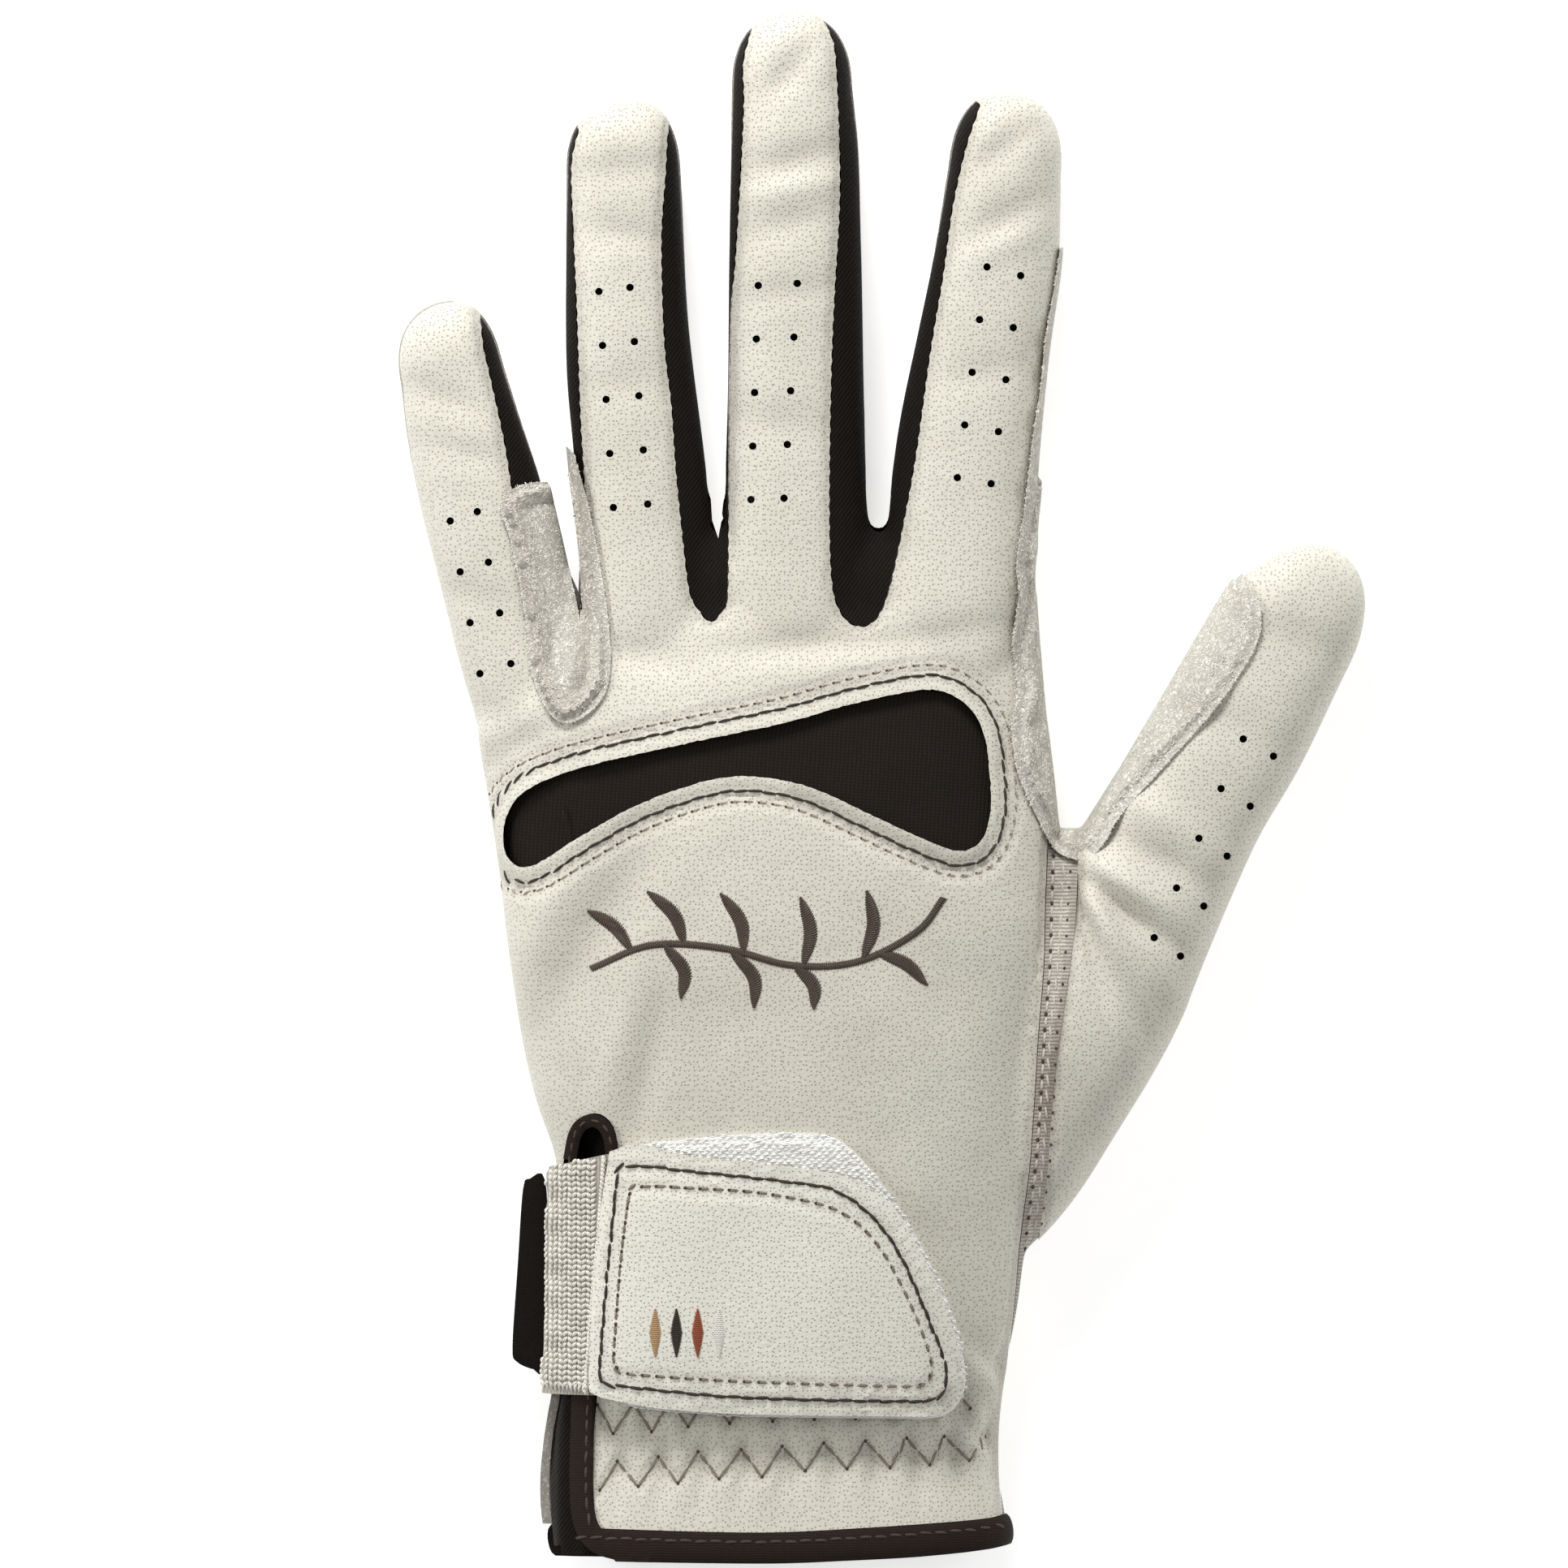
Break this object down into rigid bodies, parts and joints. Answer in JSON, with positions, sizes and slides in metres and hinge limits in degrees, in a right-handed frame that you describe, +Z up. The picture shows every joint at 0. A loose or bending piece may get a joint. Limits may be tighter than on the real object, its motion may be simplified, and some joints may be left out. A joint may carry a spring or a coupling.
{
  "type": "riding glove",
  "caption": "Left-hand leather riding glove with knit finger sides, suede rein patches and a hook-and-loop wrist strap, lying on its palm.",
  "frame": {"origin": "on the surface that the glove rests on, under the middle of the palm", "axes": "+X towards the thumb, +Y towards the fingertips, +Z up out of the back of the hand"},
  "size_m": [0.1457, 0.2347, 0.0294],
  "materials": {
    "leather": "grained, with pores",
    "suede": "napped",
    "knit": "fine rib knit",
    "binding": "folded tape",
    "elastic": "coarse knit",
    "loop": "looped pile",
    "hook": "stiff hooks",
    "label": "woven"
  },
  "bodies": {
    "root": {"back_leather": "leather", "thumb_back": "leather", "closure_tab": "leather", "palm_leather": "suede", "thumb_palm": "suede", "thumb_seam_strip": "suede", "rein_patch": "suede", "thumb_patch": "suede", "fourchette_little_ring": "knit", "fourchette_ring_middle": "knit", "fourchette_middle_index": "knit", "knuckle_panel": "knit", "vent_gusset": "knit", "cuff_binding": "binding", "elastic_strap": "elastic", "loop_patch": "loop", "hook_patch": "hook", "side_label": "label"}
  },
  "joints": []
}
